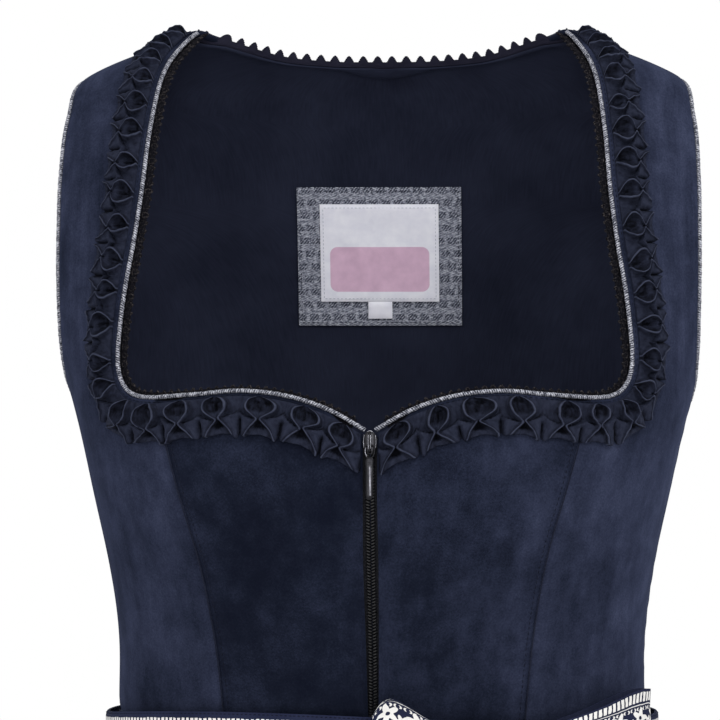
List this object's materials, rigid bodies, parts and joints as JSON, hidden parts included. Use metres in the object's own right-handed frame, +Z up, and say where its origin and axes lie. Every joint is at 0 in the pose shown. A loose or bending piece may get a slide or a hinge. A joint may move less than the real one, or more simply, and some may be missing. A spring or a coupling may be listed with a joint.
{
  "type": "dirndl",
  "caption": "Sleeveless dirndl with a front zip, ruched square neckline, gathered skirt and a tied apron, hollow as when worn.",
  "frame": {"origin": "midway between the shoulder straps' inner ends, where they rest on the wearer's shoulders", "axes": "+X towards the wearer's left, -Y towards the wearer's front, +Z up"},
  "size_m": [0.6313, 0.5728, 0.9404],
  "materials": {
    "suede": "navy velvety suede with a soft nap",
    "ruche": "dark navy pleated cloth",
    "piping": "silver-grey glitter cord",
    "lace": "near-black cotton picot lace",
    "zip_tape": "black woven tape and nylon coil",
    "zip_metal": "dark gunmetal",
    "tweed": "grey twill weave",
    "label": "white satin label with a plain pink panel",
    "skirt": "navy cotton",
    "apron_print": "navy cotton with an ivory lace-like print"
  },
  "bodies": {
    "garment": {"back_centre": "suede", "front_centre_right": "suede", "front_side_right": "suede", "back_side_right": "suede", "front_centre_left": "suede", "front_side_left": "suede", "back_side_left": "suede", "neck_piping_right": "piping", "neck_piping_left": "piping", "armhole_piping_right": "piping", "armhole_piping_left": "piping", "ruche_right": "ruche", "ruche_left": "ruche", "picot_front_right": "lace", "picot_front_left": "lace", "zip_tape_right": "zip_tape", "zip_tape_left": "zip_tape", "picot_back": "lace", "neck_facing": "skirt", "label_patch": "tweed", "label": "label", "size_tab": "label", "zip_coil": "zip_tape", "zip_slider": "zip_metal", "skirt_front_left": "skirt", "skirt_back_left": "skirt", "skirt_back_right": "skirt", "skirt_front_right": "skirt", "apron_band": "apron_print", "apron": "apron_print", "bow_loop_right": "apron_print", "bow_loop_left": "apron_print", "bow_knot": "apron_print", "bow_tail_right": "apron_print", "bow_tail_left": "apron_print"},
    "pull": {"zip_pull": "zip_metal"}
  },
  "joints": [
    {"name": "pull_swing", "type": "hinge", "parent": "garment", "child": "pull", "pos_m": [0, -0.12295, -0.20565], "axis": [-1, 0, 0], "range_deg": [0, 135]}
  ]
}
